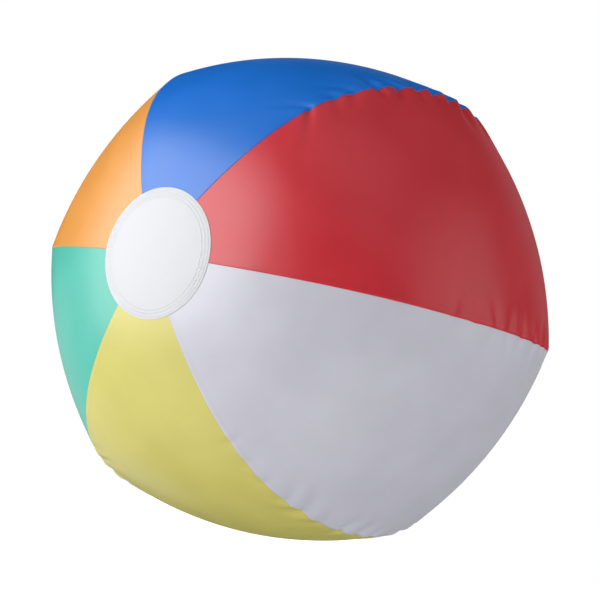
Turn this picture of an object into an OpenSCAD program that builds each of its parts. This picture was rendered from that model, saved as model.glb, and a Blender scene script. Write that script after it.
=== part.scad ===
// Inflatable beach ball: six film gores, two end discs and a push-in stopper valve.
// The polar axis runs along Y. The plain front disc faces -Y and the valve sits in the rear disc at +Y.
// The origin is the ball's centre, and +Z is up: the blue panel is on top, the yellow one below.

/* [Ball] */
// Distance from the axis to the middle of a panel, at the equator
panel_r = 125; // [110:1:150]
// Distance from the centre to each pole
pole_h = 122; // [105:1:150]
// Radius of the shoulder arc that joins the flatter equator and pole
shoulder_r = 93; // [80:1:105]
// Radius of a panel's cross-section: larger is flatter, with sharper seams
cross_r = 206; // [180:1:400]
// Thickness of the PVC film
film_t = 0.2; // [0.15:0.01:0.4]

/* [End discs] */
// Radius of the two end discs
disc_r = 33; // [30:0.5:45]
// Width of the ring where a disc is welded over the panel tips
disc_weld_w = 8; // [5:0.5:12]
// Radius of the hole in the rear disc
valve_hole_r = 9.6; // [9.6:0.1:11]

/* [Valve] */
// Outer radius of the welded flange
flange_r = 15; // [13:0.5:18]
// Thickness of the flange
flange_t = 1; // [0.8:0.1:1.5]
// Radius of the hole that is blown into
bore_r = 2.5; // [2.4:0.1:2.6]
// Outer radius of the stem
stem_r = 4.2; // [4:0.1:4.4]
// How far the stem pulls out of the ball
stem_travel = 12; // [11:0.5:13]
// Wall thickness of the rolling neck
neck_t = 0.5; // [0.4:0.1:0.6]
// Distance from the stem's axis to the fold of the plug's strap
strap_reach = 7.4; // [7.2:0.1:7.6]
// Length of the plug's shank
shank_len = 3.4; // [3:0.1:3.5]

/* [Hidden] */
$fn = 96;
overshoot = 1;

white = [0.93, 0.94, 0.95];
clear_white = [0.86, 0.88, 0.90];

// The gores: the panels are numbered round the front pole, and each faces its own angle from +X.
gore_count = 6;
gore_span = 360 / gore_count;
seam_slope = tan(gore_span / 2);
gore_rows = 24;
gore_cols = 8;
pole_cols = 48;

// A panel's outline from equator to pole is three arcs that meet at two slopes. Each arc's centre lies
// on the line through its neighbour's centre at the slope where they join, so the outline is smooth.
equator_slope = 26;
pole_slope = 64;
// Solving for the distances from the shoulder's centre to the other two, along those two lines:
// (1 - cos e) a + cos p b = panel_r - shoulder_r   and   sin e a + (1 - sin p) b = pole_h - shoulder_r
arc_det = (1 - cos(equator_slope)) * (1 - sin(pole_slope)) - cos(pole_slope) * sin(equator_slope);
equator_gap = ((panel_r - shoulder_r) * (1 - sin(pole_slope))
    - (pole_h - shoulder_r) * cos(pole_slope)) / arc_det;
pole_gap = ((pole_h - shoulder_r) * (1 - cos(equator_slope))
    - (panel_r - shoulder_r) * sin(equator_slope)) / arc_det;
equator_arc_r = shoulder_r + equator_gap;
pole_arc_r = shoulder_r + pole_gap;
equator_arc_u = panel_r - equator_arc_r;
pole_arc_h = pole_h - pole_arc_r;
shoulder_u = pole_gap * cos(pole_slope);
shoulder_h = equator_gap * sin(equator_slope);

// The panel tips stop under the discs' weld rings, where the outline has this slope.
tip_slope = acos((disc_r - disc_weld_w) / pole_arc_r);
// A hair's gap in each disc weld, so that the sheets' facets don't cut into each other
weld_gap = 0.05;
disc_rings = 4;
disc_radii = concat([valve_hole_r],
    [for (i = [0:disc_rings]) flange_r + (disc_r - flange_r) * i / disc_rings]);

// The valve's levels, measured outwards along the axis from the rear disc's outer face.
surface_h = pole_h + weld_gap + film_t;
cap_t = 1.25;
cap_r = 4.7;
cap_edge = 0.4;
lip_level = -cap_t - 0.05;
neck_level = -film_t - flange_t / 2;
root_level = neck_level - stem_travel;
stem_end = root_level - 3;
neck_clear = 0.2;
hem_inset = 0.1;
hem_gap = 0.05;
neck_r = valve_hole_r - neck_clear;
neck_floor_r = neck_r - 1.2;
neck_corner_r = 1.5;
root_r = stem_r + 0.8;
root_t = 1;
lip_r = stem_r + 0.3;
lip_t = 0.8;

shank_top_r = bore_r - 0.05;
shank_tip_r = bore_r - 0.7;
shank_hollow_r = 1;
pull_w = 3;
pull_reach = 6.4;

strap_w = 4.5;
strap_t = 0.75;
strap_fold_gap = 0.1;
fold_level = lip_level - strap_fold_gap / 2;
fold_r = strap_t + strap_fold_gap / 2;
fold_clear = 0.05;

seat_hole_r = 1.5;
seat_spigot_len = 2;
seat_rim_t = 0.6;
flap_r = 2.7;
flap_t = 0.5;
flap_hinge_x = 3.2;
flap_hinge_w = 2.4;

// ---- Places -----------------------------------------------------------------------------------

// Turns the pole from +Z to the front of the ball, with angles counted from +X towards +Z.
module at_front() {
    rotate([90, 0, 0]) children();
}

// Turns the pole from +Z to the rear of the ball. What was +Y now points down.
module at_rear() {
    rotate([-90, 0, 0]) children();
}

// Stands its children on the rear disc's outer face, with heights counted outwards.
module at_valve() {
    at_rear() translate([0, 0, surface_h]) children();
}

// ---- Film -------------------------------------------------------------------------------------

// How far a panel's cross-section has dropped at a distance v from its middle line.
function drop(v, offset) = cross_r - sqrt(pow(cross_r + offset, 2) - v * v);

// The arc of the outline that a slope lies on: [centre from axis, centre height, radius].
function outline_arc(slope) =
    slope < equator_slope ? [equator_arc_u, 0, equator_arc_r] :
    slope < pole_slope ? [shoulder_u, shoulder_h, shoulder_r] : [0, pole_arc_h, pole_arc_r];

// Half a gore's width at a slope: where its surface, u = arc_u + (arc_r - drop(v)) cos(slope), meets
// the seam plane v = u tan(half span). Squaring that gives a quadratic in v.
function half_width(slope, offset) =
    let (
        arc = outline_arc(abs(slope)),
        c = cos(slope),
        k = arc[0] + (arc[2] - cross_r) * c,
        lead = 1 / (seam_slope * seam_slope) + c * c,
        rest = k * k - pow(c * (cross_r + offset), 2)
    )
    (k / seam_slope + sqrt(pow(k / seam_slope, 2) - lead * rest)) / lead;

// A point of a gore that faces +X, with the pole at +Z. The share across runs from -1 to 1.
function gore_point(slope, across, offset) =
    let (
        arc = outline_arc(abs(slope)),
        v = across * half_width(slope, offset),
        r = arc[2] - drop(v, offset)
    )
    [arc[0] + r * cos(slope), v, sign(slope) * arc[1] + r * sin(slope)];

// A point of the film near the pole, where the six gores' surfaces meet. A seam lies at angle 0, so the
// turn is counted from the middle of the panel beside it.
function pole_point(radius, angle, offset) =
    let (
        turn = angle % gore_span - gore_span / 2,
        u = radius * cos(turn),
        r = pole_arc_r - drop(radius * sin(turn), offset)
    )
    [radius * cos(angle), radius * sin(angle), pole_arc_h + sqrt(r * r - u * u)];

function flat_list(rows) = [for (row = rows) each row];
function quad(a, b, c, d) = [[a, b, c], [a, c, d]];

// A closed sheet between an outer and an inner grid of points. Rows run away from the first edge.
// A ring's rows close on themselves. A hub is the pair of points that fills the first row's hole.
module sheet(outer, inner, ring = false, hub = []) {
    rows = len(outer);
    cols = len(outer[0]);
    below = rows * cols;
    steps = ring ? cols : cols - 1;
    function at(i, j) = i * cols + j % cols;
    skin = [for (i = [0:rows - 2], j = [0:steps - 1])
        each quad(at(i, j), at(i, j + 1), at(i + 1, j + 1), at(i + 1, j))];
    lining = [for (face = skin) [face[2] + below, face[1] + below, face[0] + below]];
    first_edge = [for (j = [0:steps - 1])
        each quad(at(0, j), at(0, j) + below, at(0, j + 1) + below, at(0, j + 1))];
    last_edge = [for (j = [0:steps - 1])
        each quad(at(rows - 1, j + 1), at(rows - 1, j + 1) + below, at(rows - 1, j) + below,
            at(rows - 1, j))];
    side_edges = [for (i = [0:rows - 2]) each concat(
        quad(at(i, 0), at(i + 1, 0), at(i + 1, 0) + below, at(i, 0) + below),
        quad(at(i + 1, cols - 1), at(i, cols - 1), at(i, cols - 1) + below,
            at(i + 1, cols - 1) + below))];
    hub_faces = [for (j = [0:steps - 1]) each [
        [2 * below, at(0, j + 1), at(0, j)], [2 * below + 1, at(0, j) + below, at(0, j + 1) + below]]];
    polyhedron(
        points = concat(flat_list(outer), flat_list(inner), hub),
        faces = concat(skin, lining, last_edge,
            len(hub) > 0 ? hub_faces : first_edge,
            ring ? [] : side_edges),
        convexity = 6);
}

// One gore, with the pole at +Z, that faces +X.
module gore() {
    slopes = [for (i = [0:gore_rows]) tip_slope * (2 * i / gore_rows - 1)];
    shares = [for (j = [0:gore_cols]) 2 * j / gore_cols - 1];
    sheet(
        [for (slope = slopes) [for (share = shares) gore_point(slope, share, 0)]],
        [for (slope = slopes) [for (share = shares) gore_point(slope, share, -film_t)]]);
}

module panel(facing) {
    at_front() rotate([0, 0, facing]) gore();
}

// Film round the pole, with its edges at the first and last radius, or filled in to the pole.
module pole_film(radii, inside, outside, filled = false) {
    angles = [for (j = [0:pole_cols - 1]) 360 * j / pole_cols];
    sheet(
        [for (radius = radii) [for (angle = angles) pole_point(radius, angle, outside)]],
        [for (radius = radii) [for (angle = angles) pole_point(radius, angle, inside)]],
        ring = true,
        hub = filled ? [pole_point(0, 0, outside), pole_point(0, 0, inside)] : []);
}

// ---- Panels and discs -------------------------------------------------------------------------

module panel_blue() {
    color("royalblue") panel(90);
}

module panel_red() {
    color("firebrick") panel(30);
}

module panel_white() {
    color("gainsboro") panel(-30);
}

module panel_yellow() {
    color("khaki") panel(-90);
}

module panel_green() {
    color("mediumaquamarine") panel(-150);
}

module panel_orange() {
    color("sandybrown") panel(150);
}

module front_disc() {
    color(white) at_front() pole_film(disc_radii, weld_gap, weld_gap + film_t, filled = true);
}

module rear_disc() {
    color(white) at_rear() pole_film(disc_radii, weld_gap, weld_gap + film_t);
}

// ---- Valve ------------------------------------------------------------------------------------

// Soft ring welded to the inside of the rear disc, round its hole.
module valve_flange() {
    color(clear_white) at_rear() pole_film([valve_hole_r, flange_r], weld_gap - flange_t, weld_gap);
}

// Cup-shaped neck between flange and stem. It rolls inside out when the stem is pulled.
module valve_neck() {
    color(clear_white) at_valve() rotate_extrude() {
        difference() {
            neck_outline(0);
            neck_outline(neck_t);
        }
        // The hem that joins the neck's top to the flange
        translate([neck_r - neck_t, neck_level - flange_t / 2 + hem_inset])
            square([valve_hole_r - hem_gap - neck_r + neck_t, flange_t - 2 * hem_inset]);
    }
}

// The neck's profile from the stem's root out to its wall, drawn in by a wall thickness.
module neck_outline(inset) {
    floor_level = root_level - root_t / 2 + inset;
    top = neck_level + (inset > 0 ? overshoot : 0);
    near = inset > 0 ? 0 : root_r;
    polygon([
        [near, floor_level],
        [neck_floor_r - neck_corner_r, floor_level],
        [neck_floor_r - inset * 0.7, floor_level + neck_corner_r],
        [neck_r - inset, top],
        [near, top]
    ]);
}

// The tube that is blown into, with its lip, its root ring and the lower leaf of the strap.
module valve_stem() {
    color(clear_white) at_valve() difference() {
        union() {
            rotate_extrude() polygon([
                [0, stem_end],
                [stem_r, stem_end],
                [stem_r, root_level - root_t / 2],
                [root_r, root_level - root_t / 2],
                [root_r, root_level + root_t / 2],
                [stem_r, root_level + root_t / 2],
                [stem_r, lip_level - lip_t],
                [lip_r, lip_level - lip_t],
                [lip_r, lip_level],
                [0, lip_level]
            ]);
            strap_leaf(lip_level - strap_fold_gap - strap_t, bore_r + overshoot);
            strap_fold(fold_r);
        }
        translate([0, 0, stem_end - overshoot]) cylinder(r = bore_r, h = -stem_end);
    }
}

// One leaf of the strap, from a radius on the stem out to the fold.
module strap_leaf(level, from_r) {
    translate([from_r, -strap_w / 2, level]) cube([strap_reach - from_r, strap_w, strap_t]);
}

// The rounded fold that both leaves of the strap turn about.
module strap_fold(r, w = strap_w) {
    translate([strap_reach, 0, fold_level]) rotate([90, 0, 0]) cylinder(r = r, h = w, center = true);
}

// Ring pressed into the stem's inner end. The flap closes against its lower rim.
module check_seat() {
    color(white) at_valve() difference() {
        union() {
            translate([0, 0, stem_end]) cylinder(r = bore_r, h = seat_spigot_len);
            translate([0, 0, stem_end - seat_rim_t]) cylinder(r = stem_r, h = seat_rim_t);
        }
        translate([0, 0, stem_end - overshoot])
            cylinder(r = seat_hole_r, h = seat_spigot_len + 2 * overshoot);
    }
}

// Thin disc with a tab out to its fold, which lifts off the seat as air is blown in.
module check_flap() {
    color(white) at_valve() translate([0, 0, stem_end - seat_rim_t - flap_t]) {
        cylinder(r = flap_r, h = flap_t);
        translate([0, -flap_hinge_w / 2, 0]) cube([flap_hinge_x, flap_hinge_w, flap_t]);
        translate([flap_hinge_x, 0, flap_t / 2]) rotate([90, 0, 0])
            cylinder(r = flap_t / 2, h = flap_hinge_w, center = true);
    }
}

// Round head with a pull lip, and a hollow tapered shank that closes the bore.
module stopper_plug() {
    color(clear_white) at_valve() difference() {
        union() {
            rotate_extrude() polygon([
                [0, -cap_t - shank_len],
                [shank_tip_r, -cap_t - shank_len],
                [shank_top_r, -cap_t],
                [cap_r, -cap_t],
                [cap_r, -cap_edge],
                [cap_r - cap_edge, 0],
                [0, 0]
            ]);
            translate([-pull_reach, -pull_w / 2, -cap_t])
                cube([pull_reach, pull_w, cap_t - cap_edge]);
        }
        translate([0, 0, -cap_t - shank_len - overshoot])
            cylinder(r = shank_hollow_r, h = shank_len + overshoot);
    }
}

// The strap's upper leaf, from the plug's head to the fold.
module plug_strap() {
    color(clear_white) at_valve() difference() {
        strap_leaf(-cap_t, 0);
        translate([0, 0, -cap_t - overshoot]) cylinder(r = cap_r, h = cap_t + 2 * overshoot);
        strap_fold(fold_r + fold_clear, strap_w + 2 * overshoot);
    }
}

panel_blue();
panel_red();
panel_white();
panel_yellow();
panel_green();
panel_orange();
front_disc();
rear_disc();
valve_flange();
valve_neck();
valve_stem();
check_seat();
check_flap();
stopper_plug();
plug_strap();
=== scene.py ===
"""Inflatable beach ball of six welded PVC gores, with two end discs and a push-in stopper valve."""

import bmesh
import bpy
import numpy as np
from mathutils import Matrix, Vector


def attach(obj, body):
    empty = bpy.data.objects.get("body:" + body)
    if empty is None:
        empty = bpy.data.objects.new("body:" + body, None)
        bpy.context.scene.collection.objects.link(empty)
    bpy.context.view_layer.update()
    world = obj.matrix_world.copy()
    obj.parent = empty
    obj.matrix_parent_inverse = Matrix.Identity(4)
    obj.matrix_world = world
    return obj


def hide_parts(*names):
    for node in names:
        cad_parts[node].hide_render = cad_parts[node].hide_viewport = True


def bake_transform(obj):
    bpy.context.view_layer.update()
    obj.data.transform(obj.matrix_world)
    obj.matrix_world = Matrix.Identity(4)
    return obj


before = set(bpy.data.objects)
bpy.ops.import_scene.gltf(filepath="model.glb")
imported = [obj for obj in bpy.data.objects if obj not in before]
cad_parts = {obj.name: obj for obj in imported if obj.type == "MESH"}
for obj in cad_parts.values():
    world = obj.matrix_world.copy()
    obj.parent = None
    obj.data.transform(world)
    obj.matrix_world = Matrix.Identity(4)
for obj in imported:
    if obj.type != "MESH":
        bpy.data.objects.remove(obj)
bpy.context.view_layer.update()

# ---- The six panels -------------------------------------------------------------------------------
# Each panel is a gore cut from 0.2 mm calendered PVC film, dyed through. Its long edges are lap-welded
# to its neighbours, so one panel of each pair lies over the other, and the weld gathers the film into
# short puckers round the ball's waist, where the flat gore has more edge than the inflated ball needs.

PANEL_R, POLE_H, SHOULDER_R, CROSS_R = 125.0, 122.0, 93.0, 206.0
FILM_T = 0.2
EQUATOR_SLOPE, POLE_SLOPE = np.radians(26), np.radians(64)
GORE = np.radians(60)
DISC_R, DISC_WELD = 33.0, 8.0
LAP = 1.6


def outline_arcs():
    """The three tangent arcs of a panel's middle line. Their centres lie on shared lines at the slopes where
    the arcs join, which gives two linear equations for the two distances from the shoulder arc's centre."""
    e, p = EQUATOR_SLOPE, POLE_SLOPE
    gaps = np.linalg.solve([[1 - np.cos(e), np.cos(p)], [np.sin(e), 1 - np.sin(p)]],
                           [PANEL_R - SHOULDER_R, POLE_H - SHOULDER_R])
    a, b = gaps
    return np.array([[PANEL_R - SHOULDER_R - a, 0, SHOULDER_R + a],
                     [b * np.cos(p), a * np.sin(e), SHOULDER_R],
                     [0, POLE_H - SHOULDER_R - b, SHOULDER_R + b]])


ARCS = outline_arcs()
POLE_ARC_H, POLE_ARC_R = ARCS[2, 1], ARCS[2, 2]
TIP_SLOPE = np.arccos((DISC_R - DISC_WELD) / POLE_ARC_R)


def drop(v):
    """How far a panel's cross-section, an arc of CROSS_R, has fallen at a distance v from its middle."""
    return CROSS_R - np.sqrt(CROSS_R ** 2 - v * v)


def gore_surface(slope, share):
    """A panel that faces +X with the pole at +Z: the outline's arc at this slope, made smaller by the drop of
    the cross-section. The half width is where that surface meets the seam plane, the root of a quadratic."""
    arc = ARCS[np.where(abs(slope) < EQUATOR_SLOPE, 0, np.where(abs(slope) < POLE_SLOPE, 1, 2))]
    u0, h0, r0 = arc[..., 0], arc[..., 1], arc[..., 2]
    c, t = np.cos(slope), np.tan(GORE / 2)
    k = u0 + (r0 - CROSS_R) * c
    lead = 1 / t ** 2 + c * c
    half = (k / t + np.sqrt((k / t) ** 2 - lead * (k * k - (c * CROSS_R) ** 2))) / lead
    v = share * half
    r = r0 - drop(v)
    return np.stack([u0 + r * c, v, np.sign(slope) * h0 + r * np.sin(slope)], -1), half


def turned(points, angle):
    """Points turned about the polar axis +Z by an angle in radians."""
    c, s = np.cos(angle), np.sin(angle)
    x, y, z = points[..., 0], points[..., 1], points[..., 2]
    return np.stack([c * x - s * y, s * x + c * y, z], -1)


def to_front(points):
    """The pole turned from +Z to the front of the ball, -Y."""
    return np.stack([points[..., 0], -points[..., 2], points[..., 1]], -1)


def to_rear(points):
    """The pole turned from +Z to the rear of the ball, +Y."""
    return np.stack([points[..., 0], points[..., 2], -points[..., 1]], -1)


# How far in front of the waist each seam's puckers begin, in millimetres, and a factor on their depth
GATHERS = ((56, 0.7), (112, 1.15), (60, 0.8), (60, 0.8), (84, 0.8), (114, 0.9))
# The ranges, in millimetres, of their spacing, depth, half width and reach, and how far back they go
PITCH, DEPTH, HALF_WIDTH, REACH = (10.5, 16.5), (0.8, 3.2), (2.4, 4.0), (5, 14)
REAR_END = -82


def seam_puckers(seam):
    """One seam's puckers, scattered along it by arc length from the waist: where each lies, its depth, its
    half width, its slant, its sideways pull on the weld, and how far it runs into the panel on each side."""
    rng = np.random.default_rng(40 + seam)
    front, strength = GATHERS[seam]
    place = front - np.cumsum(rng.uniform(*PITCH, 18))
    place = place[place > REAR_END]
    n = len(place)
    calm = strength * np.clip((front - place) / 32, 0, 1) * np.clip((place - REAR_END + 6) / 35, 0, 1)
    depth = calm * rng.uniform(*DEPTH, n)
    width, slant = rng.uniform(*HALF_WIDTH, n), rng.uniform(-0.5, 0.5, n)
    pull = rng.uniform(-0.5, 0.5, n) * calm
    return place, depth, width, slant, pull, rng.uniform(*REACH, (2, n))


PUCKERS = [seam_puckers(seam) for seam in range(6)]


def pucker_field(seam, side, s, t):
    """Depth and sideways pull at arc length s along a seam and distance t from it. A pucker is a valley
    across the seam between two low shoulders. It is deepest on the seam, where the film was gathered, and
    fades into the panel as a bell curve over its length."""
    place, depth, width, slant, pull, reach = PUCKERS[seam]
    s, t = s[..., None], t[..., None]
    q = (s - place - slant * t) / (width * (1 + t / 22))
    valley = np.exp(-q * q) - 0.4 * np.exp(-(q / 2.4) ** 2)
    along = np.exp(-(t / reach[side]) ** 2)
    sideways = pull * np.exp(-q * q) * np.exp(-(t / 7) ** 2)
    return (depth * valley * along).sum(-1), sideways.sum(-1)


def seam_beside(facing, sign):
    """The seam on the side of a panel towards higher angles, +1, or lower ones, -1: its angle over 60."""
    return (facing + 30 * sign) // 60 % 6


def film(facing, slopes, shares):
    """Points of the panel that faces an angle, over slopes by shares from -1 to 1, in the ball's own place.
    Puckers move them towards the ball's centre and round the axis, by the same amount on both sides of a
    seam. Also gives the distances along and from the nearer seam."""
    slope = slopes[:, None] + 0 * shares
    share = shares + 0 * slope
    base, half = gore_surface(slope, share)
    ridge = gore_surface(slopes, np.ones_like(slopes))[0]
    steps = np.linalg.norm(np.diff(ridge, axis=0), axis=1)
    s = np.concatenate([[0], np.cumsum(steps)])
    s = (s - np.interp(0, slopes, s))[:, None] + 0 * share
    inward, round_axis = 0 * s, 0 * s
    for side, sign in ((0, 1), (1, -1)):
        seam = seam_beside(facing, sign)
        t = half * (1 - sign * share)
        depth, sideways = pucker_field(seam, side, s, t)
        inward, round_axis = inward + depth, round_axis + sideways
    radial = base / np.linalg.norm(base, axis=-1, keepdims=True)
    lean = np.arctan2(base[..., 1], base[..., 0])
    tangent = np.stack([-np.sin(lean), np.cos(lean), 0 * lean], -1)
    points = base - radial * inward[..., None] + tangent * round_axis[..., None]
    return to_front(turned(points, np.radians(facing))), s, half * (1 - abs(share))


def outward(points):
    """Unit normals of a grid of points, from the cross product of its two differences."""
    down, over = np.gradient(points, axis=0), np.gradient(points, axis=1)
    n = np.cross(over, down)
    n /= np.linalg.norm(n, axis=-1, keepdims=True) + 1e-12
    return n * np.sign((n * points).sum(-1, keepdims=True))


def skin(name, points, uv=None, close_rows=False, close_cols=False):
    """A grid of points in millimetres, joined into quads and merged where rows or columns meet at a pole.
    The optional grid of UV pairs follows the quads' corners."""
    rows, cols = points.shape[:2]
    i, j = np.meshgrid(np.arange(rows - (not close_rows)), np.arange(cols - (not close_cols)), indexing="ij")
    i2, j2 = (i + 1) % rows, (j + 1) % cols
    quads = np.stack([i * cols + j, i2 * cols + j, i2 * cols + j2, i * cols + j2], -1).reshape(-1, 4)
    mesh = bpy.data.meshes.new(name)
    mesh.from_pydata((points.reshape(-1, 3) / 1000).tolist(), [], quads.tolist())
    if uv is not None:
        layer = mesh.uv_layers.new(name="Film")
        layer.data.foreach_set("uv", uv.reshape(-1, 2)[quads.ravel()].astype(np.float32).ravel())
    work = bmesh.new()
    work.from_mesh(mesh)
    bmesh.ops.remove_doubles(work, verts=work.verts, dist=1e-7)
    bmesh.ops.recalc_face_normals(work, faces=work.faces)
    work.to_mesh(mesh)
    work.free()
    mesh.polygons.foreach_set("use_smooth", np.ones(len(mesh.polygons), bool))
    piece = bpy.data.objects.new(name, mesh)
    bpy.context.scene.collection.objects.link(piece)
    return piece


def face_out(piece):
    """Turns an open sheet's faces so that most of them point away from the ball's centre."""
    mesh = piece.data
    count = len(mesh.polygons)
    middles, normals = np.empty(count * 3), np.empty(count * 3)
    mesh.polygons.foreach_get("center", middles)
    mesh.polygons.foreach_get("normal", normals)
    if (middles * normals).sum() < 0:
        mesh.flip_normals()
    return piece


def thicken(piece, thickness):
    """Gives a sheet its wall, inwards from its outer face, in millimetres."""
    wall = piece.modifiers.new("Wall", "SOLIDIFY")
    wall.thickness, wall.offset, wall.use_even_offset = thickness / 1000, -1, False
    return piece


def linear(code):
    """An sRGB hex colour as the linear colour that shaders take."""
    srgb = np.array([int(code[k:k + 2], 16) for k in (0, 2, 4)]) / 255
    return (*np.where(srgb <= 0.04045, srgb / 12.92, ((srgb + 0.055) / 1.055) ** 2.4).tolist(), 1.0)


def add(tree, kind, settings=None, inputs=None):
    """Adds a node with its settings. An input is a value, or a socket to link from."""
    node = tree.nodes.new(kind)
    for key, value in (settings or {}).items():
        setattr(node, key, value)
    for key, value in (inputs or {}).items():
        if isinstance(value, bpy.types.NodeSocket):
            tree.links.new(value, node.inputs[key])
        else:
            node.inputs[key].default_value = value
    return node


def blank_material(name):
    """An empty material with its output and its main shader."""
    made = bpy.data.materials.new(name)
    made.use_nodes = True
    made.node_tree.nodes.clear()
    out = add(made.node_tree, "ShaderNodeOutputMaterial")
    shader = add(made.node_tree, "ShaderNodeBsdfPrincipled")
    made.node_tree.links.new(shader.outputs[0], out.inputs[0])
    return made, made.node_tree, shader


def calendered_pvc(name, code):
    """Calendered PVC film: dyed through, semi-gloss from the rollers, with a faint orange peel of 2 mm cells
    over slack waves 30 mm long. Within 3 mm of a seam the colour is a little darker: partly the lap pressed
    by the hot tool, partly painted shade of the lap's step."""
    made, tree, shader = blank_material(name)
    place = add(tree, "ShaderNodeTexCoord").outputs["Object"]
    mottle = add(tree, "ShaderNodeTexNoise", inputs={"Vector": place, "Scale": 1 / 0.024, "Detail": 3.0})
    peel = add(tree, "ShaderNodeTexNoise", inputs={"Vector": place, "Scale": 1 / 0.002, "Detail": 2.0})
    slack = add(tree, "ShaderNodeTexNoise", inputs={"Vector": place, "Scale": 1 / 0.030, "Detail": 1.0})
    film_uv = add(tree, "ShaderNodeUVMap", {"uv_map": "Film"}).outputs[0]
    from_seam = add(tree, "ShaderNodeSeparateXYZ", inputs={"Vector": film_uv}).outputs["Y"]
    # Painted shade, partly real: a band out to 3.2 mm from a seam, full within 1.6 mm, marks the pressed weld
    # and stands in for the shade of the lap's step
    weld = add(tree, "ShaderNodeMapRange", {"interpolation_type": "SMOOTHSTEP"},
               {"Value": from_seam, "From Min": 0.0016, "From Max": 0.0032, "To Min": 1.0, "To Max": 0.0})
    tint = add(tree, "ShaderNodeMapRange", inputs={"Value": mottle.outputs["Fac"], "From Min": 0.3,
                                                   "From Max": 0.7, "To Min": 0.97, "To Max": 1.03})
    # The colour is 2 per cent darker in that band: partly the pressed weld, partly painted shade of the lap's
    # step
    pressed = add(tree, "ShaderNodeMath", {"operation": "MULTIPLY_ADD"},
                  {0: weld.outputs[0], 1: -0.02, 2: tint.outputs[0]})
    colour = add(tree, "ShaderNodeHueSaturation", inputs={"Color": linear(code), "Value": pressed.outputs[0]})
    rough = add(tree, "ShaderNodeMapRange", inputs={"Value": mottle.outputs["Fac"], "From Min": 0.3,
                                                    "From Max": 0.7, "To Min": 0.31, "To Max": 0.37})
    low = add(tree, "ShaderNodeBump", inputs={"Height": slack.outputs["Fac"], "Distance": 0.0006,
                                              "Strength": 0.2})
    fine = add(tree, "ShaderNodeBump", inputs={"Height": peel.outputs["Fac"], "Distance": 0.00004,
                                               "Strength": 0.5, "Normal": low.outputs[0]})
    tree.links.new(colour.outputs[0], shader.inputs["Base Color"])
    tree.links.new(rough.outputs[0], shader.inputs["Roughness"])
    tree.links.new(fine.outputs[0], shader.inputs["Normal"])
    shader.inputs["IOR"].default_value = 1.53
    shader.inputs["Specular IOR Level"].default_value = 1.0
    return made


# Seams by their angle over 60 degrees: +1 where the panel at the higher angle lies on top of the lap.
OVER = (1, 1, -1, -1, 1, 1)
# How high the lap lies over its neighbour, and the width over which the panel's edge rises to it
LIFT, RISE_W = 0.3 * FILM_T, 3.0
# A panel's rows from pole to pole, and its columns from seam to seam
ROWS, COLUMNS = 520, 65
PANELS = {"blue": (90, "0A76DF"), "red": (30, "DF3440"), "white": (-30, "DEDDE9"),
          "yellow": (-90, "E4DB78"), "green": (-150, "52C8B4"), "orange": (150, "F3A64E")}


def panel_grid(facing):
    """A panel's points and UV pairs, which are the distances along and from the seam in metres. On a side
    where it lies on top, its edge rises by what is left of the film's thickness once it is welded, and three
    more columns run on to LAP past the seam over its neighbour's own surface, at that height."""
    slopes = np.linspace(-TIP_SLOPE, TIP_SLOPE, ROWS)
    even = np.linspace(-1, 1, COLUMNS)
    shares = 0.35 * even + 0.65 * np.sin(even * np.pi / 2)
    half = gore_surface(slopes, 1 + 0 * slopes)[1][:, None]
    points, along, away = film(facing, slopes, shares)
    lift = 0 * away
    parts = [(points, along, away, lift)]
    reach = LAP * np.array([1, 2, 3]) / 3
    for sign in (-1, 1):
        if OVER[seam_beside(facing, sign)] == sign:
            continue
        rise = np.clip((RISE_W + 0.5 - away) / RISE_W, 0, 1) * (sign * shares > 0)
        lift += LIFT * rise * rise * (3 - 2 * rise)
        lap = film(facing + sign * 60, slopes, sign * (reach[::sign] / half - 1))
        parts.insert(0 if sign < 0 else len(parts), (*lap, LIFT + 0 * lap[1]))
    points, along, away, lift = (np.concatenate(columns, 1) for columns in zip(*parts))
    return points + outward(points) * lift[..., None], np.stack([along, away], -1) / 1000


for colour_name, (facing, code) in PANELS.items():
    points, uv = panel_grid(facing)
    panel = thicken(face_out(skin("film_" + colour_name, points, uv)), FILM_T)
    panel.data.materials.append(calendered_pvc("calendered_pvc_" + colour_name, code))
    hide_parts("panel_" + colour_name)
    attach(panel, "ball")

# ---- End discs ------------------------------------------------------------------------------------
# Two round pieces of white PVC film cover the six panel tips, one at each pole. Each is welded down by a
# hot ring tool, which leaves three raised circles crossed by fine teeth. The rear one is cut for the valve.

WELD_GAP = 0.05
VALVE_HOLE_R = 9.6
SURFACE = POLE_H + WELD_GAP + FILM_T
# The three raised circles that the ring tool leaves, how high and wide they are, and its number of teeth
RING_RADII, RING_H, RING_HALF_W, TEETH = (28.1, 29.8, 31.5), 0.12, 0.3, 170


def pole_height(radius, angle):
    """Height of the film above the ball's centre near a pole: the pole arc, made smaller by the drop of the
    panel's cross-section, with the turn counted from the middle of the panel."""
    turn = angle % GORE - GORE / 2
    r = POLE_ARC_R - drop(radius * np.sin(turn))
    return POLE_ARC_H + np.sqrt(r * r - (radius * np.cos(turn)) ** 2)


def disc_grid(radii, offset, ridges=()):
    """Film round the pole at an offset above the panels. Inside the weld it stretches smoothly, at the mean
    height over all angles, and it meets the panels' ridges over the weld's width. Each ridge is a bell curve
    of the radius. UV pairs are the angle counted in tool teeth, and the radius in metres."""
    radius, angle = np.meshgrid(radii, np.linspace(0, 2 * np.pi, 361), indexing="ij")
    height = pole_height(radius, angle)
    mean = height[:, :-1].mean(1, keepdims=True)
    share = np.clip((radius - 19) / 9, 0, 1)
    height = mean + (height - mean) * share * share * (3 - 2 * share) + offset
    for place in ridges:
        height = height + RING_H * np.exp(-((radius - place) / RING_HALF_W) ** 2)
    points = np.stack([radius * np.cos(angle), radius * np.sin(angle), height], -1)
    return points, np.stack([angle / (2 * np.pi) * TEETH, radius / 1000], -1)


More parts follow.
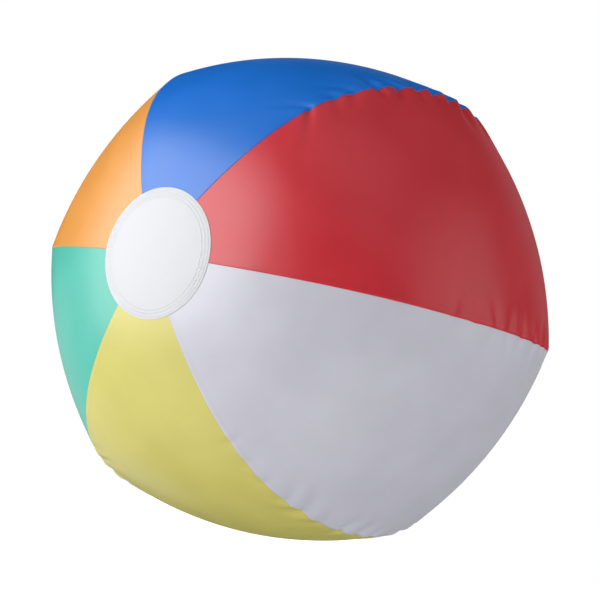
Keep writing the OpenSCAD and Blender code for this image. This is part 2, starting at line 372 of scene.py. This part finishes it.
def welded_white_pvc(name):
    """White PVC film, opaque with chalk filler, pressed matt between silicone sheets. The ring tool's teeth,
    1.1 mm apart, cross each raised circle between 27 and 32.5 mm from the middle."""
    made, tree, shader = blank_material(name)
    place = add(tree, "ShaderNodeTexCoord").outputs["Object"]
    cloud = add(tree, "ShaderNodeTexNoise", inputs={"Vector": place, "Scale": 1 / 0.018, "Detail": 3.0})
    grain = add(tree, "ShaderNodeTexNoise", inputs={"Vector": place, "Scale": 1 / 0.0012, "Detail": 2.0})
    weld_uv = add(tree, "ShaderNodeSeparateXYZ", inputs={
        "Vector": add(tree, "ShaderNodeUVMap", {"uv_map": "Film"}).outputs[0]})
    turn = add(tree, "ShaderNodeMath", {"operation": "MULTIPLY"}, {0: weld_uv.outputs["X"], 1: 2 * np.pi})
    teeth = add(tree, "ShaderNodeMath", {"operation": "SINE"}, {0: turn.outputs[0]})
    inner = add(tree, "ShaderNodeMapRange", {"interpolation_type": "SMOOTHSTEP"},
                {"Value": weld_uv.outputs["Y"], "From Min": 0.0270, "From Max": 0.0277})
    outer = add(tree, "ShaderNodeMapRange", {"interpolation_type": "SMOOTHSTEP"},
                {"Value": weld_uv.outputs["Y"], "From Min": 0.0319, "From Max": 0.0325,
                 "To Min": 1.0, "To Max": 0.0})
    band = add(tree, "ShaderNodeMath", {"operation": "MULTIPLY"}, {0: inner.outputs[0], 1: outer.outputs[0]})
    tooth = add(tree, "ShaderNodeMath", {"operation": "MULTIPLY"}, {0: teeth.outputs[0], 1: band.outputs[0]})
    tint = add(tree, "ShaderNodeMapRange", inputs={"Value": cloud.outputs["Fac"], "From Min": 0.3,
                                                   "From Max": 0.7, "To Min": 0.98, "To Max": 1.01})
    colour = add(tree, "ShaderNodeHueSaturation", inputs={"Color": linear("E2E4E9"),
                                                          "Value": tint.outputs[0]})
    rough = add(tree, "ShaderNodeMapRange", inputs={"Value": cloud.outputs["Fac"], "From Min": 0.3,
                                                    "From Max": 0.7, "To Min": 0.48, "To Max": 0.58})
    skin_bump = add(tree, "ShaderNodeBump", inputs={"Height": grain.outputs["Fac"], "Distance": 0.00003,
                                                    "Strength": 0.5})
    tooth_bump = add(tree, "ShaderNodeBump", inputs={"Height": tooth.outputs[0], "Distance": 0.00006,
                                                     "Strength": 0.8, "Normal": skin_bump.outputs[0]})
    tree.links.new(colour.outputs[0], shader.inputs["Base Color"])
    tree.links.new(rough.outputs[0], shader.inputs["Roughness"])
    tree.links.new(tooth_bump.outputs[0], shader.inputs["Normal"])
    shader.inputs["IOR"].default_value = 1.53
    shader.inputs["Specular IOR Level"].default_value = 0.9
    return made


disc_film = welded_white_pvc("matt_white_pvc_film")
weld_radii = np.arange(DISC_R - 7, DISC_R + 0.01, 0.125)
for disc_name, hole_r, place in (("front_disc", 0.0, to_front), ("rear_disc", VALVE_HOLE_R, to_rear)):
    radii = np.concatenate([np.linspace(hole_r, DISC_R - 7.5, 18), weld_radii])
    points, uv = disc_grid(radii, WELD_GAP + FILM_T, ridges=RING_RADII)
    disc = thicken(face_out(skin(disc_name + "_film", place(points), uv)), FILM_T)
    disc.data.materials.append(disc_film)
    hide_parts(disc_name)
    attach(disc, "ball")

# ---- Valve flange and neck ------------------------------------------------------------------------
# The valve is injection-moulded from soft clear-white PVC. Its flange is welded to the inside of the rear
# disc, and its thin neck hangs from the flange as a cup that rolls inside out when the stem is pulled.

FLANGE_R, FLANGE_T = 15.0, 1.0


def moulded_soft_pvc(name, code, roughness, depth):
    """Injection-moulded plasticised PVC: light goes a few millimetres in, which softens its shadows, and the
    polished mould leaves a wet gloss with faint flow marks 3 mm apart."""
    made, tree, shader = blank_material(name)
    place = add(tree, "ShaderNodeTexCoord").outputs["Object"]
    flow = add(tree, "ShaderNodeTexNoise", inputs={"Vector": place, "Scale": 1 / 0.003, "Detail": 2.0})
    tint = add(tree, "ShaderNodeMapRange", inputs={"Value": flow.outputs["Fac"], "From Min": 0.3,
                                                   "From Max": 0.7, "To Min": 0.97, "To Max": 1.0})
    colour = add(tree, "ShaderNodeHueSaturation", inputs={"Color": linear(code), "Value": tint.outputs[0]})
    rough = add(tree, "ShaderNodeMapRange", inputs={"Value": flow.outputs["Fac"], "From Min": 0.3,
                                                    "From Max": 0.7, "To Min": roughness - 0.04,
                                                    "To Max": roughness + 0.04})
    bump = add(tree, "ShaderNodeBump", inputs={"Height": flow.outputs["Fac"], "Distance": 0.00005,
                                               "Strength": 0.4})
    tree.links.new(colour.outputs[0], shader.inputs["Base Color"])
    tree.links.new(rough.outputs[0], shader.inputs["Roughness"])
    tree.links.new(bump.outputs[0], shader.inputs["Normal"])
    shader.inputs["IOR"].default_value = 1.53
    shader.inputs["Subsurface Weight"].default_value = depth
    shader.inputs["Subsurface Radius"].default_value = (0.002, 0.002, 0.002)
    shader.inputs["Subsurface Scale"].default_value = 1.0
    return made


soft_pvc = moulded_soft_pvc("moulded_clear_white_pvc", "E2E6EA", 0.3, 0.35)


def finish_valve(piece, node_name, body, material=soft_pvc):
    """Gives a valve piece its material, the CAD node that it stands for and the body it rides on.
    Without a body it is left free, attached to none."""
    piece.data.materials.append(material)
    if node_name:
        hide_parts(node_name)
    if body:
        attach(piece, body)
    return piece


points, uv = disc_grid(np.linspace(VALVE_HOLE_R, FLANGE_R, 12), WELD_GAP)
finish_valve(thicken(face_out(skin("flange", to_rear(points), uv)), FLANGE_T), "valve_flange", "ball")


def softened(profile, radius):
    """A closed outline with each corner replaced by a curve of six points: a quadratic Bezier between points
    a radius away along both sides, or a third of the side where that is shorter."""
    corner = np.asarray(profile, float)
    before, after = np.roll(corner, 1, 0) - corner, np.roll(corner, -1, 0) - corner
    size = [np.linalg.norm(side, axis=1, keepdims=True) for side in (before, after)]
    a, b = (corner + side / n * np.minimum(radius, n / 3) for side, n in zip((before, after), size))
    u = np.linspace(0, 1, 6)[:, None, None]
    return ((1 - u) ** 2 * a + 2 * u * (1 - u) * corner + u * u * b).transpose(1, 0, 2).reshape(-1, 2)


def at_valve(x, y, level):
    """Points stood on the rear disc's outer face, with levels counted outwards."""
    return to_rear(np.stack(np.broadcast_arrays(x, y, level + SURFACE), -1))


def revolved(name, profile):
    """A closed profile of radius and level, carried once round the valve's axis."""
    angle = np.linspace(0, 2 * np.pi, 96, endpoint=False)
    radius, level = profile[:, :1], profile[:, 1:]
    return skin(name, at_valve(radius * np.cos(angle), radius * np.sin(angle), level),
                close_rows=True, close_cols=True)


NECK_T = 0.5
ROOT_LEVEL = -FILM_T - FLANGE_T / 2 - 12.0
# The middle of the neck's wall, from the flange down, round the corner and in to the stem's root ring
line = np.array([[9.5, -0.7], [9.15, -1.1], [8.6, -6.0], [8.05, -11.0], [7.75, -12.3], [6.7, -12.95],
                 [5.1, -12.95]])
dense = np.linspace(0, len(line) - 1, 61)
line = np.stack([np.interp(dense, np.arange(len(line)), line[:, k]) for k in (0, 1)], -1)
for _ in range(6):
    line[1:-1] = (line[:-2] + 2 * line[1:-1] + line[2:]) / 4
along = np.gradient(line, axis=0)
side = np.stack([-along[:, 1], along[:, 0]], -1) / np.linalg.norm(along, axis=1, keepdims=True)
wall = np.concatenate([line + side * NECK_T / 2, (line - side * NECK_T / 2)[::-1]])
neck = finish_valve(revolved("rolling_neck", wall), "valve_neck", None)
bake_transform(neck)

# ---- Stem, strap and plug -------------------------------------------------------------------------
# The stem is the tube that is blown into, with a lip round its mouth. A strap moulded on its side folds
# back over the mouth and carries the plug, whose tapered hollow shank is pushed into the bore.

STEM_R, BORE_R = 4.2, 2.5
CAP_R, PULL_REACH, PULL_W = 4.7, 6.4, 3.0
FOLD_X, FOLD_LEVEL, FOLD_R, STRAP_W = 7.4, -1.35, 0.8, 4.5
lip, end = -1.3, ROOT_LEVEL - 3
root = ROOT_LEVEL
stem_profile = softened([[BORE_R, end], [STEM_R, end], [STEM_R, root - 0.5], [5.0, root - 0.5],
                         [5.0, root + 0.5], [STEM_R, root + 0.5], [STEM_R, lip - 0.8], [4.5, lip - 0.8],
                         [4.5, lip], [BORE_R, lip]], 0.18)
finish_valve(revolved("stem_tube", stem_profile), "valve_stem", "valve_stem")


def plate(name, outline, half, edge, place):
    """A flat piece: a closed outline carried through its thickness, drawn in along its own normals by a
    quarter circle at both faces. The two faces are filled in."""
    ahead = np.roll(outline, -1, 0) - np.roll(outline, 1, 0)
    normal = np.stack([ahead[:, 1], -ahead[:, 0]], -1) / (np.linalg.norm(ahead, axis=1, keepdims=True) + 1e-9)
    area = (outline[:, 0] * np.roll(outline[:, 1], -1) - np.roll(outline[:, 0], -1) * outline[:, 1]).sum()
    turn = np.linspace(0, np.pi / 2, 5)
    inset = np.concatenate([1 - np.sin(turn), 1 - np.cos(turn)]) * edge
    across = np.concatenate([-half + edge * (1 - np.cos(turn)), half - edge * (1 - np.sin(turn))])
    rows = outline - np.sign(area) * normal * inset[:, None, None]
    piece = skin(name, place(rows, across[:, None]), close_cols=True)
    work = bmesh.new()
    work.from_mesh(piece.data)
    bmesh.ops.holes_fill(work, edges=[e for e in work.edges if e.is_boundary], sides=0)
    bmesh.ops.recalc_face_normals(work, faces=work.faces)
    for face in work.faces:
        face.smooth = len(face.verts) < 5
    work.to_mesh(piece.data)
    work.free()
    return piece


def upright(rows, across):
    """An outline of x and level, with its thickness across the strap."""
    return at_valve(rows[..., 0], across, rows[..., 1])


def arc(centre, radius, first, last, count):
    """Points of an arc between two angles in degrees."""
    turn = np.radians(np.linspace(first, last, count))
    return np.stack([centre[0] + radius * np.cos(turn), centre[1] + radius * np.sin(turn)], -1)


fold = (FOLD_X, FOLD_LEVEL)
lower = np.concatenate([[[4.0, -2.15], [5.6, -2.15]], arc(fold, FOLD_R, -90, 182, 28),
                        [[5.6, -1.40], [4.0, -1.40]]])
finish_valve(plate("strap_root", lower, STRAP_W / 2, 0.2, upright), None, "valve_stem")
upper = np.concatenate([[[4.5, -1.25]], arc(fold, FOLD_R + 0.05, 172, 92, 12),
                        [[7.35, -0.52], [6.0, -0.50], [4.5, -0.50]]])
finish_valve(plate("strap_leaf", upper, STRAP_W / 2, 0.12, upright), "plug_strap", "plug")

# The plug, from the bottom of its hollow out over the shank, the head and the pull lip to a shallow dish
angle = np.linspace(0, 2 * np.pi, 144, endpoint=False)
stations = np.array([[0, -1.35], [0.7, -1.35], [1.0, -1.55], [1.0, -4.5], [1.1, -4.65], [1.65, -4.65],
                     [1.8, -4.5], [2.0, -3.5], [2.2, -2.5], [2.42, -1.45], [2.6, -1.26], [4.45, -1.25],
                     [4.62, -1.2], [4.7, -1.05], [4.7, -0.6], [4.7, -0.46], [4.7, -0.40], [4.68, -0.3],
                     [4.58, -0.13], [4.35, -0.02], [4.1, 0.0], [3.6, -0.03], [3.1, -0.14], [1.6, -0.17],
                     [0, -0.17]])
radius, level = stations[:, :1], stations[:, 1:]
pull = np.where(np.cos(angle) < 0, np.minimum(PULL_REACH / np.maximum(-np.cos(angle), 1e-3),
                                              PULL_W / 2 / np.maximum(abs(np.sin(angle)), 1e-3)), 0)
grows = (radius > 4.4) & (level < -0.43)
radius = radius + grows * np.maximum(pull - CAP_R, 0)
plug = skin("stopper", at_valve(radius * np.cos(angle), radius * np.sin(angle), level), close_cols=True)
finish_valve(plug, "stopper_plug", "plug")

# ---- Check valve ----------------------------------------------------------------------------------
# A small rigid ring pressed into the stem's inner end, with a thin flap hinged at its rim. The flap hangs
# against the ring and holds the air in while the plug is out.

rigid = moulded_soft_pvc("moulded_rigid_white_pvc", "ECECE8", 0.38, 0.1)
seat_profile = softened([[1.5, end - 0.6], [STEM_R, end - 0.6], [STEM_R, end - 0.02],
                         [BORE_R - 0.02, end - 0.02], [BORE_R - 0.02, end + 2], [1.5, end + 2]], 0.15)
finish_valve(revolved("check_ring", seat_profile), "check_seat", "valve_stem", rigid)
angle = np.linspace(0, 2 * np.pi, 120, endpoint=False)
tab = np.where(np.cos(angle) > 0, np.minimum(3.4 / np.maximum(np.cos(angle), 1e-3),
                                             1.2 / np.maximum(abs(np.sin(angle)), 1e-3)), 0)
radius = np.maximum(2.7, tab)
flap_outline = np.stack([radius * np.cos(angle), radius * np.sin(angle)], -1)
flap = plate("check_leaf", flap_outline, 0.24, 0.2,
             lambda rows, across: at_valve(rows[..., 0], rows[..., 1], across + end - 0.86))
finish_valve(flap, "check_flap", "check_flap", rigid)

# ---- Floor, light and camera ----------------------------------------------------------------------
# A pale seamless floor that the ball just touches. A wide soft box stands at the front left, with dimmer
# ones at both sides and behind, and the dark gaps between them keep the colour of the film full.

floor_mesh = bpy.data.meshes.new("studio_floor")
span, level = 12.0, -0.1252
corners = ((-span, -span), (span, -span), (span, span), (-span, span))
floor_mesh.from_pydata([(x, y, level) for x, y in corners], [], [(0, 1, 2, 3)])
floor = bpy.data.objects.new("studio_floor", floor_mesh)
bpy.context.scene.collection.objects.link(floor)
paper = bpy.data.materials.new("white_paper_sweep")
paper.use_nodes = True
paper.node_tree.nodes.clear()
tree = paper.node_tree
glow = add(tree, "ShaderNodeEmission", inputs={"Color": (1, 1, 1, 1), "Strength": 1.0})
matt = add(tree, "ShaderNodeBsdfDiffuse", inputs={"Color": (0.8, 0.8, 0.8, 1)})
both = add(tree, "ShaderNodeAddShader", inputs={0: glow.outputs[0], 1: matt.outputs[0]})
add(tree, "ShaderNodeOutputMaterial", inputs={"Surface": both.outputs[0]})
floor.data.materials.append(paper)
floor.visible_diffuse = floor.visible_glossy = floor.visible_shadow = False

scene = bpy.context.scene
scene.view_settings.view_transform = "Standard"
world = bpy.data.worlds.new("studio")
scene.world = world
world.use_nodes = True
tree = world.node_tree
tree.nodes.clear()
seen = add(tree, "ShaderNodeLightPath").outputs["Is Camera Ray"]
plain = add(tree, "ShaderNodeBackground", inputs={"Color": (1, 1, 1, 1), "Strength": 1.0})
ambient = add(tree, "ShaderNodeBackground", inputs={"Color": (1, 1, 1, 1), "Strength": 0.012})
mixed = add(tree, "ShaderNodeMixShader", inputs={0: seen, 1: ambient.outputs[0], 2: plain.outputs[0]})
add(tree, "ShaderNodeOutputWorld", inputs={"Surface": mixed.outputs[0]})


def soft_box(name, azimuth, elevation, width, height, watts, mirrored=True):
    """A rectangular lamp 1.9 m from the ball and aimed at it. Azimuth 0 stands in front, 90 on the right."""
    a, e = np.radians(azimuth), np.radians(elevation)
    away = Vector((np.sin(a) * np.cos(e), -np.cos(a) * np.cos(e), np.sin(e)))
    light = bpy.data.lights.new(name, "AREA")
    light.shape, light.size, light.size_y, light.energy = "RECTANGLE", width, height, watts
    lamp = bpy.data.objects.new(name, light)
    lamp.location = away * 1.9
    lamp.rotation_euler = away.to_track_quat("Z", "Y").to_euler()
    lamp.visible_camera, lamp.visible_glossy = False, mirrored
    scene.collection.objects.link(lamp)


soft_box("key_box", -36, 11, 2.8, 2.0, 42)
soft_box("wing_box", -104, -22, 1.6, 1.4, 4)
soft_box("side_box", 120, 14, 1.6, 2.0, 3.2)
soft_box("back_box", 200, 5, 1.8, 1.8, 1.6)
# Scattered light from the ceiling, the table and the walls, too soft to be mirrored in the film
soft_box("ceiling_left", -60, 55, 1.6, 1.6, 6, mirrored=False)
soft_box("ceiling_right", 60, 60, 1.6, 1.6, 8.5, mirrored=False)
soft_box("ceiling_back", 170, 45, 1.6, 1.6, 5, mirrored=False)
soft_box("table_left", -50, -45, 1.6, 1.6, 8, mirrored=False)
soft_box("front_fill", -5, -10, 1.6, 1.6, 7.5, mirrored=False)
soft_box("table_right", 82, -50, 1.6, 1.6, 19, mirrored=False)
soft_box("wall_back", -142, 10, 1.6, 1.6, 9, mirrored=False)
soft_box("wall_side", 118, 8, 1.6, 1.8, 10, mirrored=False)
soft_box("wall_behind", 200, 5, 1.6, 1.6, 17, mirrored=False)

# The camera stands low at the front right and is rolled a little, as a hand holds it.
azimuth, elevation, roll = np.radians([37.6, -4.6, 11.9])
distance = 1.375
right = Vector((np.cos(azimuth), np.sin(azimuth), 0))
back = Vector((np.sin(azimuth) * np.cos(elevation), -np.cos(azimuth) * np.cos(elevation), np.sin(elevation)))
up = back.cross(right)
up, right = up * np.cos(roll) - right * np.sin(roll), right * np.cos(roll) + up * np.sin(roll)
lens = bpy.data.cameras.new("camera")
lens.lens, lens.sensor_width = 157.4, 36
camera = bpy.data.objects.new("camera", lens)
turn = Matrix((right, up, back)).transposed().to_4x4()
camera.matrix_world = Matrix.Translation(back * distance + right * 0.0004 - up * 0.0006) @ turn
scene.collection.objects.link(camera)
scene.camera = camera
